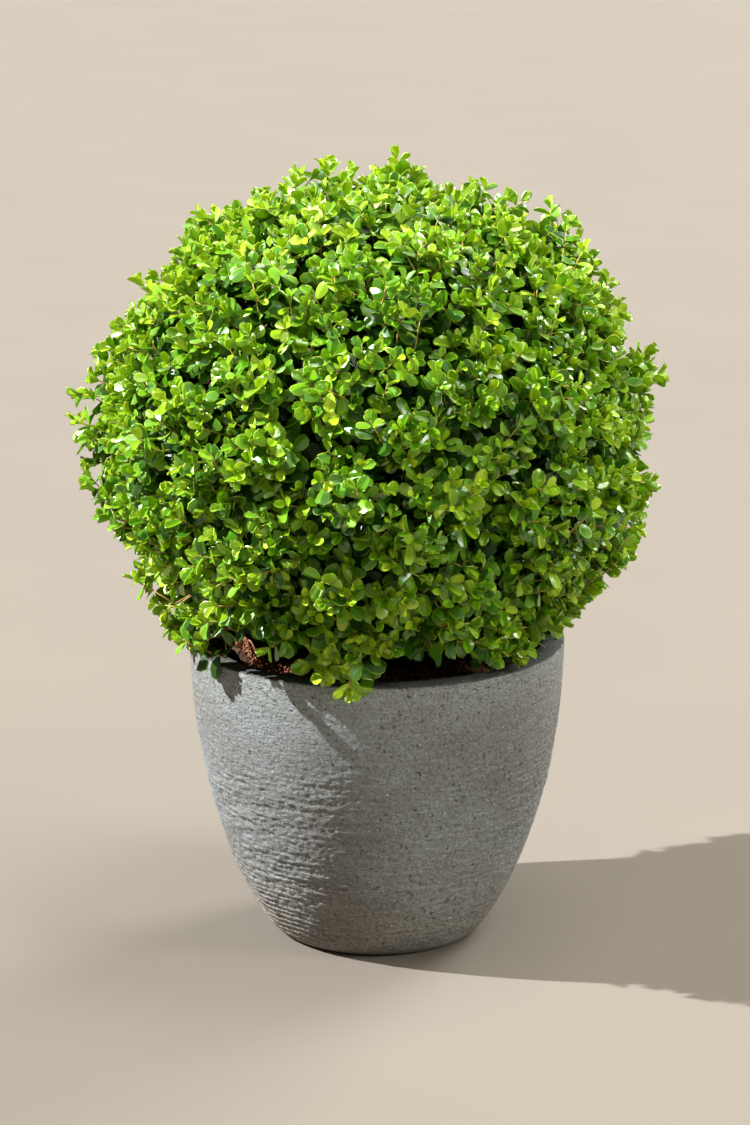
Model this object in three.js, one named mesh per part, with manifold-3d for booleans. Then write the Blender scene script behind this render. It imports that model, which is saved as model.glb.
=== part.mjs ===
// A clipped box ball growing in a round stone-look pot, as separate solids.
// Units are millimetres, +Z is up, and the origin is the centre of the pot's flat underside.
import * as THREE from "three";
import { mergeVertices } from "three/addons/utils/BufferGeometryUtils.js";
import Module from "manifold-3d";

const wasm = await Module();
wasm.setup();

// Driving dimensions of the pot
const POT_HEIGHT = 268;
const POT_RIM_RADIUS = 165;
const POT_FOOT_RADIUS = 87;
const POT_WALL = 19;
const POT_FLOOR = 22;
const POT_RIM_EDGE = 2.5; // the small bevel on both edges of the rim
const POT_BELLY_POWER = 1.95; // how soon the wall turns upright on its way up
const POT_BELLY_ROOT = 1.32; // how round the turn is just above the foot
const POT_SIDES = 44;
const POT_OUTER_STEPS = 10;
const POT_INNER_STEPS = 5;

// Driving dimensions of the compost in the pot
const SOIL_TOP = 255;
const SOIL_GAP = 0.5; // sideways, to the pot's sloping wall
const SOIL_RELIEF = 3; // half the height of its lumps
const SOIL_COLLAR = 34; // the flat patch that the stem stands on
const SOIL_CLUMP = { x: -106, y: -88, height: 9, spread: 30 }; // loose fibre heaped at the front left

// Driving dimensions of the crown: a ball a little wider than tall, sunk into the pot's mouth
const CROWN_CENTRE = new THREE.Vector3(-4, 0, 447);
const CROWN_RADIUS = 240;
const CROWN_HALF_HEIGHT = 228;
const TIP_SPREAD = 12; // how far shoot tips stand out of, or stay under, the clipped face
const CORE_DEPTH = 44; // how far the dense core lies under the clipped face
const CORE_LUMPS = 5;
const CORE_DROP = 10; // how much deeper than the ball the core's lower half runs, to fill the pot's mouth
const CORE_FLOOR = 280; // the core's flat underside, clear above the rim
const BARE_RADIUS = 92; // the leafless room in the middle that the boughs cross
const FRINGE_FLOOR = POT_HEIGHT + 2; // over the pot no leaf hangs lower than this
const FRONT_LIFT = 24; // how much higher the foliage ends at the front, where the soil shows
const FAR_TIPS = [
  [-269, 10, 484],
  [-266, -2, 444],
  [-186, -43, 284],
  [-158, 50, 640],
  [-48, 61, 684],
  [18, 60, 681],
  [170, 49, 636],
  [244, 20, 522],
  [223, -26, 347],
]; // where the longest shoots' leaves end round the ball's outline, as seen from the front

// Driving dimensions of the wood
const TRUNK_FOOT = new THREE.Vector3(-2, 2, SOIL_TOP + 0.3);
const TRUNK_TOP = new THREE.Vector3(-5, -1, 352);
const TRUNK_RADIUS = 12;
const TRUNK_FLARE = 9; // extra radius at the root flare
const TRUNK_TAPER = 3;
const BOUGH_RADIUS = 6.4;
const BOUGH_TIP_RADIUS = 4;
const BOUGH_FORKS = [302, 322]; // heights on the trunk from which side boughs leave in turn
const BOUGH_LEAD = 34; // how far a bough holds its first and its last direction
const STEM_BARE = 14; // the length of a mass's stem that shows inside the bare room
const STEM_LENGTH = 40;
const STEM_DROP = 18; // how far the side masses' stems lie below the ball's centre
const TOUCH = 0.3; // clearance between solids that meet

// Driving dimensions of the foliage
const SIDE_MASSES = ["right", "back", "left", "front"]; // in turn from +X round to -Y
const SIDE_MASS_TILT = -5; // degrees, so that each leans a little below the horizon
const SHOOTS = 156; // on a whole ball, some of which would lie too low
const SHOOT_DEPTH = 18; // how far a shoot's wood ends short of the tips of its leaves
const SHOOT_LENGTH = 40;
const SHOOT_MARGIN = 16; // how far a shoot keeps off the walls of its mass
const SHOOT_RADIUS = 2.2;
const SHOOT_SCATTER = 0.05; // as a share of the ball's radius
const SHOOT_DROOP = 0.2; // the most that a low shoot points downwards
const FRONT_SHOOTS = [
  [-24, -166, 281],
  [-50, -160, 280],
]; // the ends of two shoots that hang down over the rim
const TWIG_RADIUS = 3.4;
const TWIG_THINNING = 0.9;
const FORK_SHARE = 0.25; // how far towards its tips a twig runs before it forks
const LEAF_LENGTH = 44;
const LEAF_WIDTH = 28;
const LEAF_FOLD = 3; // the height of a leaf's back over its flat underside
const FIRST_PAIR = 4; // the distance of the first pair from the shoot's end
const PAIR_SPACING = 9;
const YOUNG_LEAF = 0.86; // the size of a leaf of the first pair to that of an older one
const TURN_STEPS = 9; // the turns that a shoot is tried at
const PAIR_LEANS = [50, 70]; // degrees off the shoot, from the pair at its tip downwards
const SEED = 11;

const UP = new THREE.Vector3(0, 0, 1);

const LOOKS = {
  pot: { color: 0x8a8c88, roughness: 0.92, metalness: 0 },
  soil: { color: 0x4a3020, roughness: 1, metalness: 0 },
  bark: { color: 0x7a5f41, roughness: 0.9, metalness: 0 },
  leaf: { color: 0x5f9a1c, roughness: 0.45, metalness: 0 },
};

// The same numbers in [0, 1) on every run.
function seededRandom(seed) {
  let state = seed >>> 0;
  return () => {
    state = (state + 0x6d2b79f5) >>> 0;
    let t = Math.imul(state ^ (state >>> 15), 1 | state);
    t = (t + Math.imul(t ^ (t >>> 7), 61 | t)) ^ t;
    return ((t ^ (t >>> 14)) >>> 0) / 4294967296;
  };
}

const random = seededRandom(SEED);
const between = (low, high) => low + (high - low) * random();

function toSolid(geometry) {
  const bare = geometry.clone();
  bare.deleteAttribute("normal");
  bare.deleteAttribute("uv");
  const merged = mergeVertices(bare, 1e-4);
  return new wasm.Manifold(
    new wasm.Mesh({
      numProp: 3,
      vertProperties: new Float32Array(merged.attributes.position.array),
      triVerts: new Uint32Array(merged.index.array),
    }),
  );
}

function toGeometry(solid) {
  const mesh = solid.getMesh();
  const indexed = new THREE.BufferGeometry()
    .setAttribute("position", new THREE.BufferAttribute(mesh.vertProperties, 3))
    .setIndex(new THREE.BufferAttribute(mesh.triVerts, 1));
  const geometry = indexed.toNonIndexed();
  geometry.computeVertexNormals();
  return geometry;
}

function namedMesh(name, geometry, look) {
  const mesh = new THREE.Mesh(geometry, new THREE.MeshStandardMaterial({ ...look, flatShading: true }));
  mesh.name = name;
  return mesh;
}

// A profile of (radius, height) points turned round the vertical axis.
function turned(profile, sides) {
  const points = profile.map(([radius, height]) => new THREE.Vector2(radius, height));
  return new THREE.LatheGeometry(points, sides).rotateX(Math.PI / 2);
}

// The pot's outer radius at a height: upright at the rim, and rounding in ever faster to the foot.
function potRadius(height) {
  const fall = (1 - height / POT_HEIGHT) ** POT_BELLY_POWER;
  return POT_FOOT_RADIUS + (POT_RIM_RADIUS - POT_FOOT_RADIUS) * (1 - fall) ** (1 / POT_BELLY_ROOT);
}

// Heights from low to high, closer together at the low end where the wall turns fastest.
function stations(low, high, steps) {
  return Array.from({ length: steps + 1 }, (_, i) => low + (high - low) * (i / steps) ** 1.5);
}

// The pot's inner wall from the floor up, as corners of (radius, height).
const POT_INNER_WALL = stations(POT_FLOOR, POT_HEIGHT - POT_RIM_EDGE, POT_INNER_STEPS).map((z) => [
  potRadius(z) - POT_WALL,
  z,
]);

// The radius of the inner wall's straight facets at a height.
function innerWallRadius(height) {
  const upper = POT_INNER_WALL.findIndex(([, z]) => z >= height);
  const [topRadius, top] = POT_INNER_WALL[upper];
  const [lowRadius, low] = POT_INNER_WALL[upper - 1];
  return THREE.MathUtils.mapLinear(height, low, top, lowRadius, topRadius);
}

function makePot() {
  const outer = stations(0, POT_HEIGHT - POT_RIM_EDGE, POT_OUTER_STEPS).map((z) => [potRadius(z), z]);
  const rim = [
    [POT_RIM_RADIUS - POT_RIM_EDGE, POT_HEIGHT],
    [POT_RIM_RADIUS - POT_WALL + POT_RIM_EDGE, POT_HEIGHT],
  ];
  const profile = [[0, 0], ...outer, ...rim, ...POT_INNER_WALL.toReversed(), [0, POT_FLOOR]];
  return namedMesh("pot", turned(profile, POT_SIDES), LOOKS.pot);
}

// The compost's surface: low waves and one clump, except on the flat collar round the stem.
function soilHeight(x, y) {
  const radius = Math.hypot(x, y);
  const rough = Math.min(1, Math.max(0, (radius - SOIL_COLLAR) / SOIL_COLLAR));
  const waves = Math.sin(x / 17 + 1) * Math.cos(y / 21) + 0.6 * Math.sin((x + y) / 11);
  const offClump = Math.hypot(x - SOIL_CLUMP.x, y - SOIL_CLUMP.y) / SOIL_CLUMP.spread;
  return SOIL_TOP + (SOIL_RELIEF * rough * waves) / 1.6 + SOIL_CLUMP.height * Math.exp(-(offClump ** 2));
}

function makeSoil() {
  const corners = POT_INNER_WALL.map(([, z]) => z).filter((z) => z > POT_FLOOR && z < SOIL_TOP);
  const heights = [POT_FLOOR + TOUCH, ...corners, SOIL_TOP];
  const side = heights.map((z) => [innerWallRadius(z) - SOIL_GAP, z]);
  const topRadius = side.at(-1)[0];
  const top = [0.86, 0.7, 0.5, 0.3].map((share) => [topRadius * share, SOIL_TOP]);
  const geometry = turned([[0, POT_FLOOR + TOUCH], ...side, ...top, [0, SOIL_TOP]], POT_SIDES);
  const position = geometry.attributes.position;
  for (let i = 0; i < position.count; i++)
    if (position.getZ(i) > SOIL_TOP - 1e-3)
      position.setZ(i, soilHeight(position.getX(i), position.getY(i)));
  return namedMesh("soil", geometry, LOOKS.soil);
}

// One limb: a closed cylinder bent along a curve, with its radius given along the way from 0 to 1. The
// last direction given is the one that its first corner turns towards.
function limb(curve, radiusAt, sides, steps, towards = new THREE.Vector3(0, 1, 0)) {
  const geometry = new THREE.CylinderGeometry(1, 1, 1, sides, steps);
  const position = geometry.attributes.position;
  const side = new THREE.Vector3();
  const front = new THREE.Vector3();
  const place = new THREE.Vector3();
  for (let i = 0; i < position.count; i++) {
    const along = position.getY(i) + 0.5;
    const tangent = curve.getTangent(along);
    const radius = radiusAt(along);
    side.crossVectors(towards, tangent).normalize();
    front.crossVectors(tangent, side);
    place
      .copy(curve.getPoint(along))
      .addScaledVector(side, -position.getX(i) * radius)
      .addScaledVector(front, position.getZ(i) * radius);
    position.setXYZ(i, place.x, place.y, place.z);
  }
  return geometry;
}

const straight = (from, to) => new THREE.LineCurve3(from, to);

// The trunk leans a little, tapers to its flat top, and flares where it meets the compost.
function trunkSolid(extra) {
  const middle = TRUNK_FOOT.clone().lerp(TRUNK_TOP, 0.5).add(new THREE.Vector3(3, 2, 0));
  const curve = new THREE.QuadraticBezierCurve3(TRUNK_FOOT, middle, TRUNK_TOP);
  const radiusAt = (along) => TRUNK_RADIUS + extra - TRUNK_TAPER * along + TRUNK_FLARE * (1 - along) ** 6;
  return toSolid(limb(curve, radiusAt, 12, 8)).subtract(belowPlane(UP, TRUNK_FOOT));
}

// Everything on the far side of a plane through a point, as a very large box.
function belowPlane(normal, point) {
  const size = 4 * CROWN_RADIUS;
  const turn = new THREE.Quaternion().setFromUnitVectors(UP, normal);
  const centre = point.clone().addScaledVector(normal, -size / 2);
  const box = new THREE.BoxGeometry(size, size, size).applyQuaternion(turn);
  return toSolid(box.translate(centre.x, centre.y, centre.z));
}

// The outward direction of each mass of foliage, the height on the trunk that its bough leaves from, and
// how far its stem lies below the ball's centre: one mass on top, and the rest in a ring round the ball.
function massPlans() {
  const tilt = THREE.MathUtils.degToRad(SIDE_MASS_TILT);
  const sides = SIDE_MASSES.map((side, order) => {
    const turn = (order / SIDE_MASSES.length) * 2 * Math.PI;
    const direction = new THREE.Vector3(Math.cos(turn), Math.sin(turn), Math.tan(tilt)).normalize();
    return { side, direction, fork: BOUGH_FORKS[order % BOUGH_FORKS.length], drop: STEM_DROP };
  });
  return [{ side: "top", direction: UP.clone(), fork: TRUNK_TOP.z, drop: 0 }, ...sides];
}

const PLANS = massPlans();

// The walls between a mass and its neighbours: planes through the ball's centre.
function wallsOf(plan) {
  return PLANS.filter((other) => other !== plan).map((other) =>
    plan.direction.clone().sub(other.direction).normalize(),
  );
}

// How far a point lies inside its mass's own space, measured from the nearest wall.
function insideWalls(point, walls) {
  const fromCentre = point.clone().sub(CROWN_CENTRE);
  return Math.min(...walls.map((wall) => fromCentre.dot(wall)));
}

// The clipped face of the ball in a direction, or a like ball that lies deeper.
function crownPoint(direction, depth = 0) {
  return new THREE.Vector3(
    direction.x * (CROWN_RADIUS - depth),
    direction.y * (CROWN_RADIUS - depth),
    direction.z * (CROWN_HALF_HEIGHT - depth),
  ).add(CROWN_CENTRE);
}

// The dense ball inside the crown, with shallow lumps.
function coreBall() {
  const geometry = new THREE.IcosahedronGeometry(1, 4);
  const position = geometry.attributes.position;
  const direction = new THREE.Vector3();
  for (let i = 0; i < position.count; i++) {
    direction.fromBufferAttribute(position, i).normalize();
    const lump = Math.sin(direction.x * 9 + 2) * Math.sin(direction.y * 8) * Math.sin(direction.z * 10 + 1);
    const point = crownPoint(direction, CORE_DEPTH - CORE_LUMPS * lump);
    if (direction.z < 0) point.z += direction.z * (CORE_DEPTH + CORE_DROP);
    position.setXYZ(i, point.x, point.y, point.z);
  }
  return toSolid(geometry);
}

// The leafless room: a dome on a straight shaft that opens downwards.
function bareRoom() {
  const dome = Array.from({ length: 5 }, (_, i) => {
    const turn = (i / 4) * (Math.PI / 2);
    return [BARE_RADIUS * Math.cos(turn), BARE_RADIUS * Math.sin(turn)];
  });
  dome[4][0] = 0;
  const profile = [[0, -CROWN_HALF_HEIGHT], [BARE_RADIUS, -CROWN_HALF_HEIGHT], ...dome];
  const geometry = turned(profile, 18);
  return toSolid(geometry.translate(CROWN_CENTRE.x, CROWN_CENTRE.y, CROWN_CENTRE.z));
}

const CORE = coreBall().subtract(bareRoom()).subtract(belowPlane(UP, new THREE.Vector3(0, 0, CORE_FLOOR)));

// The core's share in one mass, a little clear of its neighbours' shares.
function coreShare(walls) {
  return walls.reduce((core, wall) => {
    const face = CROWN_CENTRE.clone().addScaledVector(wall, TOUCH);
    return core.subtract(belowPlane(wall, face));
  }, CORE);
}

// Where the bough hands over to the mass's own stem, just inside the core's inner face.
function stemFoot(plan) {
  const reach = BARE_RADIUS - STEM_BARE;
  return CROWN_CENTRE.clone().addScaledVector(plan.direction, reach).addScaledVector(UP, -plan.drop);
}

// A bough leaves the trunk upwards and outwards, crosses the bare room in one curve, and comes to the
// stem of its mass in line with it.
function makeBough(plan, trunkClear) {
  const share = (plan.fork - TRUNK_FOOT.z) / (TRUNK_TOP.z - TRUNK_FOOT.z);
  const start = TRUNK_FOOT.clone().lerp(TRUNK_TOP, share);
  const leaving = plan.direction.clone().add(UP).normalize();
  const end = stemFoot(plan).addScaledVector(plan.direction, -TOUCH);
  const curve = new THREE.CubicBezierCurve3(
    start,
    start.clone().addScaledVector(leaving, BOUGH_LEAD),
    end.clone().addScaledVector(plan.direction, -BOUGH_LEAD),
    end,
  );
  const radiusAt = (along) => BOUGH_RADIUS + (BOUGH_TIP_RADIUS - BOUGH_RADIUS) * along;
  const across = new THREE.Vector3(-plan.direction.y, plan.direction.x, 0);
  if (across.length() === 0) across.set(0, 1, 0);
  const solid = toSolid(limb(curve, radiusAt, 6, 6, across)).subtract(trunkClear);
  return namedMesh(`bough_${plan.side}`, toGeometry(largestBody(solid)), LOOKS.bark);
}

// Points spread evenly over the ball, from its top down to the fringe.
function ballDirections(count) {
  const golden = Math.PI * (3 - Math.sqrt(5));
  return Array.from({ length: count }, (_, i) => {
    const z = 1 - (2 * (i + 0.5)) / count;
    const flat = Math.sqrt(1 - z * z);
    return new THREE.Vector3(flat * Math.cos(i * golden), flat * Math.sin(i * golden), z);
  });
}

const nearestOf = (points, place) =>
  points.reduce((best, point) => (point.distanceTo(place) < best.distanceTo(place) ? point : best));

// The lowest that foliage may hang at a place over the pot.
function fringeFloor(point) {
  const towardsFront = Math.max(0, -point.y) / Math.max(1, Math.hypot(point.x, point.y));
  return FRINGE_FLOOR + FRONT_LIFT * towardsFront * towardsFront;
}

// The ends of all the shoots: a little scattered, some standing out further than others, and the one
// nearest to each far tip drawn out to it.
function allShootTips() {
  const scattered = ballDirections(SHOOTS).map((direction) => {
    const scatter = new THREE.Vector3(between(-1, 1), between(-1, 1), between(-1, 1));
    const outward = direction.clone().addScaledVector(scatter, SHOOT_SCATTER).normalize();
    return crownPoint(outward, SHOOT_DEPTH + between(-TIP_SPREAD, TIP_SPREAD));
  });
  for (const place of FAR_TIPS) {
    const tip = new THREE.Vector3(...place);
    const outward = tip.clone().sub(CROWN_CENTRE).normalize();
    tip.addScaledVector(outward, -SHOOT_DEPTH);
    nearestOf(scattered, tip).copy(tip);
  }
  const high = scattered.filter((tip) => tip.z > fringeFloor(tip) + 8);
  const hanging = FRONT_SHOOTS.map((place) => new THREE.Vector3(...place));
  return [...high, ...hanging];
}

const SHOOT_TIPS = allShootTips();

// The shoots in one mass's space, moved off its walls where they stand too near. Each points straight out
// of the ball, but a low one hardly droops.
function shootsOf(walls) {
  const own = SHOOT_TIPS.filter((tip) => insideWalls(tip, walls) > 0);
  return own.map((tip) => {
    const to = walls.reduce((moved, wall) => {
      const distance = moved.clone().sub(CROWN_CENTRE).dot(wall);
      return moved.addScaledVector(wall, Math.max(0, SHOOT_MARGIN - distance));
    }, tip.clone());
    const outward = to.clone().sub(CROWN_CENTRE).normalize();
    outward.z = Math.max(outward.z, -SHOOT_DROOP);
    return { from: to.clone().addScaledVector(outward.normalize(), -SHOOT_LENGTH), to };
  });
}

// The one of the three row axes along which a set of points spreads most.
function widestAxis(points) {
  const box = new THREE.Box3().setFromPoints(points);
  const size = box.getSize(new THREE.Vector3());
  return ["x", "y", "z"].reduce((widest, axis) => (size[axis] > size[widest] ? axis : widest));
}

// The branching rule. A twig runs part of the way to the middle of the feet of its shoots and forks there,
// half of the shoots going to each fork, until a twig has one shoot, to whose foot it runs.
function grow(start, feet, radius, twigs) {
  if (feet.length === 1) {
    twigs.push({ from: start, to: feet[0], radius });
    return;
  }
  const middle = feet.reduce((sum, foot) => sum.add(foot), new THREE.Vector3()).divideScalar(feet.length);
  const fork = start.clone().lerp(middle, FORK_SHARE);
  twigs.push({ from: start, to: fork, radius });
  const axis = widestAxis(feet);
  const sorted = [...feet].sort((a, b) => a[axis] - b[axis]);
  const half = Math.ceil(sorted.length / 2);
  grow(fork, sorted.slice(0, half), radius * TWIG_THINNING, twigs);
  grow(fork, sorted.slice(half), radius * TWIG_THINNING, twigs);
}

function twigSolid(twig) {
  const radiusAt = (along) => twig.radius * (1 - 0.1 * along);
  return toSolid(limb(straight(twig.from, twig.to), radiusAt, 3, 1, acrossFrom(twig)));
}

const directionOf = (twig) => twig.to.clone().sub(twig.from).normalize();

// A direction square to a twig.
const acrossFrom = (twig) => new THREE.Vector3(0.31, 0.52, 0.8).cross(directionOf(twig)).normalize();

// A box leaf: narrow at its root, widest past the middle, and blunt. It runs along +X with its back to +Z.
// Five corners round a flat underside, and one raised point on its back, give eight faces.
function leafGeometry() {
  const outline = [
    [0, 0],
    [0.56, -0.5],
    [1, -0.24],
    [1, 0.24],
    [0.56, 0.5],
  ];
  const corners = outline.map(([x, y]) => [x * LEAF_LENGTH, y * LEAF_WIDTH, 0]);
  const back = [LEAF_LENGTH * 0.55, 0, LEAF_FOLD];
  const underside = [0, 4, 1, 1, 4, 3, 1, 3, 2];
  const top = corners.flatMap((_, i) => [i, (i + 1) % corners.length, 5]);
  return new THREE.BufferGeometry()
    .setAttribute("position", new THREE.Float32BufferAttribute([...corners, back].flat(), 3))
    .setIndex([...underside, ...top]);
}

const LEAF = leafGeometry();

// A leaf whose root lies on a twig, leaning out from the twig's own direction by an angle.
function placedLeaf(root, along, outward, lean, scale) {
  const run = along.clone().multiplyScalar(Math.cos(lean)).addScaledVector(outward, Math.sin(lean));
  const face = along.clone().multiplyScalar(Math.sin(lean)).addScaledVector(outward, -Math.cos(lean));
  const across = new THREE.Vector3().crossVectors(face, run);
  const pose = new THREE.Matrix4().makeBasis(run, across, face).setPosition(root);
  return LEAF.clone().scale(scale, scale, scale).applyMatrix4(pose);
}

// The four-sided wood of a shoot with its opposite pairs of leaves: each pair a quarter turn from the
// last, each leaf rooted in the middle of the wood behind one of its faces, and the pair at the tip the
// more upright.
function shootAt(twig, turn) {
  const along = directionOf(twig);
  const corner = acrossFrom(twig).applyAxisAngle(along, turn);
  const wood = limb(straight(twig.from, twig.to), () => SHOOT_RADIUS, 4, 1, corner);
  const leaves = PAIR_LEANS.flatMap((lean, pair) => {
    const root = twig.to.clone().addScaledVector(along, -FIRST_PAIR - PAIR_SPACING * pair);
    const scale = (pair === 0 ? YOUNG_LEAF : 1) * between(0.92, 1.08);
    return [0, 2].map((opposite) => {
      const quarter = (0.5 + pair + opposite) * (Math.PI / 2);
      const outward = corner.clone().applyAxisAngle(along, quarter + between(-0.12, 0.12));
      const tilt = THREE.MathUtils.degToRad(lean + between(-5, 8));
      return placedLeaf(root, along, outward, tilt, scale);
    });
  });
  return { wood, leaves };
}

// True for a point that is over the fringe's floor, or lower but outside the pot's rim.
function clearOfPot(point) {
  return point.z > fringeFloor(point) || Math.hypot(point.x, point.y) > POT_RIM_RADIUS + 2;
}

// True where a piece's corners and the middles of its edges stay in its mass's space and clear of the pot.
function keepsToItsSpace(geometry, walls) {
  const corner = (i) => new THREE.Vector3().fromBufferAttribute(geometry.attributes.position, i);
  const ends = geometry.index.array;
  return ends.every((end, i) => {
    const next = ends[i % 3 === 2 ? i - 2 : i + 1];
    return [0, 0.25, 0.5, 0.75].every((share) => {
      const point = corner(end).lerp(corner(next), share);
      return insideWalls(point, walls) > TOUCH && clearOfPot(point);
    });
  });
}

// A shoot turned so that most of its leaves fit: a leaf that would leave the mass's space, or cut a shoot
// or leaf that has grown already, is skipped.
function fittingShoot(twig, walls, grown) {
  const start = between(0, Math.PI);
  const choices = Array.from({ length: TURN_STEPS }, (_, step) => {
    const { wood, leaves } = shootAt(twig, start + ((step / TURN_STEPS) * Math.PI) / 2);
    const inside = leaves.filter((leaf) => keepsToItsSpace(leaf, walls)).map(toSolid);
    return { wood, leaves: inside.filter((leaf) => leaf.intersect(grown).isEmpty()) };
  });
  return choices.reduce((best, shoot) => (shoot.leaves.length > best.leaves.length ? shoot : best));
}

// The largest body of a solid, without loose scraps and sealed hollows.
function largestBody(solid) {
  return solid.decompose().reduce((best, body) => (body.volume() > best.volume() ? body : best));
}

function makeMass(plan) {
  const walls = wallsOf(plan);
  const foot = stemFoot(plan);
  const stemEnd = foot.clone().addScaledVector(plan.direction, STEM_LENGTH);
  const stem = limb(straight(foot, stemEnd), () => BOUGH_TIP_RADIUS, 7, 1);
  const shoots = shootsOf(walls);
  const twigs = [];
  grow(
    stemEnd,
    shoots.map((shoot) => shoot.from),
    TWIG_RADIUS,
    twigs,
  );
  let grown = toSolid(stem);
  for (const line of shoots) {
    const shoot = fittingShoot(line, walls, grown);
    grown = shoot.leaves.reduce((sum, leaf) => sum.add(leaf), grown.add(toSolid(shoot.wood)));
  }
  const mass = twigs.reduce((sum, twig) => sum.add(twigSolid(twig)), coreShare(walls)).add(grown);
  return namedMesh(`crown_${plan.side}`, toGeometry(largestBody(mass)), LOOKS.leaf);
}

function makePlant() {
  const trunkClear = trunkSolid(TOUCH);
  const trunk = namedMesh("trunk", toGeometry(trunkSolid(0)), LOOKS.bark);
  const wood = new THREE.Group().add(trunk, ...PLANS.map((plan) => makeBough(plan, trunkClear)));
  const foliage = new THREE.Group().add(...PLANS.map(makeMass));
  return new THREE.Group().add(wood, foliage);
}

export default new THREE.Group().add(makePot(), makeSoil(), makePlant());
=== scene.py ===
"""A clipped box ball in a round stone-look pot, seen in a portrait of 750 by 1125 pixels.

Everything is in metres, +Z is up, and the origin is the centre of the pot's flat underside.
"""

import math

import bpy
import numpy as np
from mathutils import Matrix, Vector


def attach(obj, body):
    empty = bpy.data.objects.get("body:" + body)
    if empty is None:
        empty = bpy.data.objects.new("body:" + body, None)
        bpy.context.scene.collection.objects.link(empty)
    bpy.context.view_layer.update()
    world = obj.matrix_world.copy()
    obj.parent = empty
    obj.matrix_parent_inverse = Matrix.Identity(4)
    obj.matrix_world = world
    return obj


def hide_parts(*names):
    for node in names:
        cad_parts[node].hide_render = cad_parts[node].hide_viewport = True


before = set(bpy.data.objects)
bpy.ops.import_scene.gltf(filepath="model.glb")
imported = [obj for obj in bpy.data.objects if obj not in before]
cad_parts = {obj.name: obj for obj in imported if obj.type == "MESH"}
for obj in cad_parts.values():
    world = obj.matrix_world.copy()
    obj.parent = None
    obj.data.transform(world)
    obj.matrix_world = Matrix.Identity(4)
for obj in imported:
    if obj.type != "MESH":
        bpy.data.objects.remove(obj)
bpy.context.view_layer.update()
rng = np.random.default_rng(20)

UP = np.array([0, 0, 1.0])

# The camera, as fitted to the outlines of the pot and the ball
CAMERA_AIM = Vector((-0.0019, 0, 0.3339))
CAMERA_DISTANCE = 3.073
CAMERA_ELEVATION = math.radians(14.54)
CAMERA_LENS = 112  # millimetres
CAMERA_FRAME = 36  # millimetres, the height of its frame

# The lights: where each comes from, how wide it is in radians, its strength and its colour
KEY_PLACE = (-2.75, -0.07, 2.48)
LIGHTS = {
    "key": (KEY_PLACE, 0.014, 9.1, (0.985, 1.0, 1.0)),
    "fill": ((0.6, -1.2, 2.6), 0.9, 0.8, (1.0, 0.98, 0.84)),
    "sheen": ((1.9, -0.75, 1.1), 0.28, 1.5, (1.0, 0.99, 0.93)),
    "rim": ((1.4, 1.5, 1.3), 0.45, 3.6, (1.0, 1.0, 0.97)),
    "top": ((0.5, 0.0, 2.0), 0.45, 1.8, (1.0, 1.0, 0.88)),
}
STUDIO_COLOUR = (1.0, 0.97, 0.80)
STUDIO_STRENGTH = 0.14

# The pot
POT_HEIGHT = 0.268
POT_RIM_RADIUS = 0.165
POT_FOOT_RADIUS = 0.087
POT_WALL = 0.019
POT_BELLY_POWER = 1.95
POT_BELLY_ROOT = 1.32
POT_RIM_ROUND = 0.0014
POT_FOOT_ROUND = 0.004
POT_INSIDE_LOW = 0.20  # how far down its inside is made, well under the compost's top
POT_SEGMENTS = 400
POT_RINGS = 222  # up the outside
POT_RING_CROWDING = 1.05  # above 1, the rings lie closer together near the foot
POT_UNDERSIDE = [0.0005, 0.04, 0.07, 0.08]  # the radii of the rings under the foot
POT_ROUNDING_RINGS = 4  # over each edge of the rim
POT_RIM_SHARES = [0.7, 0.5, 0.3]  # where the rings of the rim's flat top lie across the wall
POT_WORN_RINGS = 6  # how many rings over the outer edge share the relief of the outside

# The pot's relief
COMB_SPACING = 0.0054
COMB_HEIGHT = 0.0012
LIP_HEIGHT = 0.0011
GROOVES = 16
GROOVE_DEPTH = 0.0007
GROOVE_WIDTH = 0.0011
SWELL_HEIGHT = 0.0003
CRUMB_HEIGHT = 0.0004
PIT_DEPTH = 0.0014
CHIP_DEPTH = 0.0016
RIM_WAVE = 0.0005
RIM_CRUMB = 0.0003

# The compost
SOIL_TOP = 0.255
SOIL_RADIUS = 0.1445
SOIL_RINGS = 90
SOIL_SEGMENTS = 220
SOIL_WAVE = 0.0018
SOIL_LUMP = 0.0011
SOIL_CLUMP = (-0.121, -0.070)
SOIL_CLUMP_HEIGHT = 0.021
SOIL_CLUMP_SPREAD = 0.023
SUN_GAP_RADIUS = 0.015  # of the gap in the foliage through which the key light reaches the clump

# The loose strands on the compost
SPREAD_FIBRES = 1700
HEAPED_FIBRES = 1500  # on the clump
HEAP_SPREAD = 0.015
FIBRE_BEND = 1.3  # radians from end to end, at most
FIBRE_ARCH = 2.2
FIBRE_CLEARANCE = 0.0004
FIBRE_TAPER = np.array([0.5, 1, 1, 1, 1, 0.5])
FIBRE_RADII = (0.00030, 0.00075)
FIBRE_SIDES = 4
FIBRE_TONES = [(0.42, 0.155, 0.070), (0.32, 0.124, 0.062), (0.52, 0.26, 0.14)]
FIBRE_SHARES = [0.40, 0.05, 0.55]  # of those tones, among the paler strands
DARK_FIBRE = 1  # the place of the dark tone

# The ball
CROWN_CENTRE = np.array([-0.004, 0, 0.447])
CROWN_RADIUS = 0.240
CROWN_HALF_HEIGHT = 0.228
BARE_RADIUS = 0.092
FRINGE_FLOOR = POT_HEIGHT + 0.002

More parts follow.
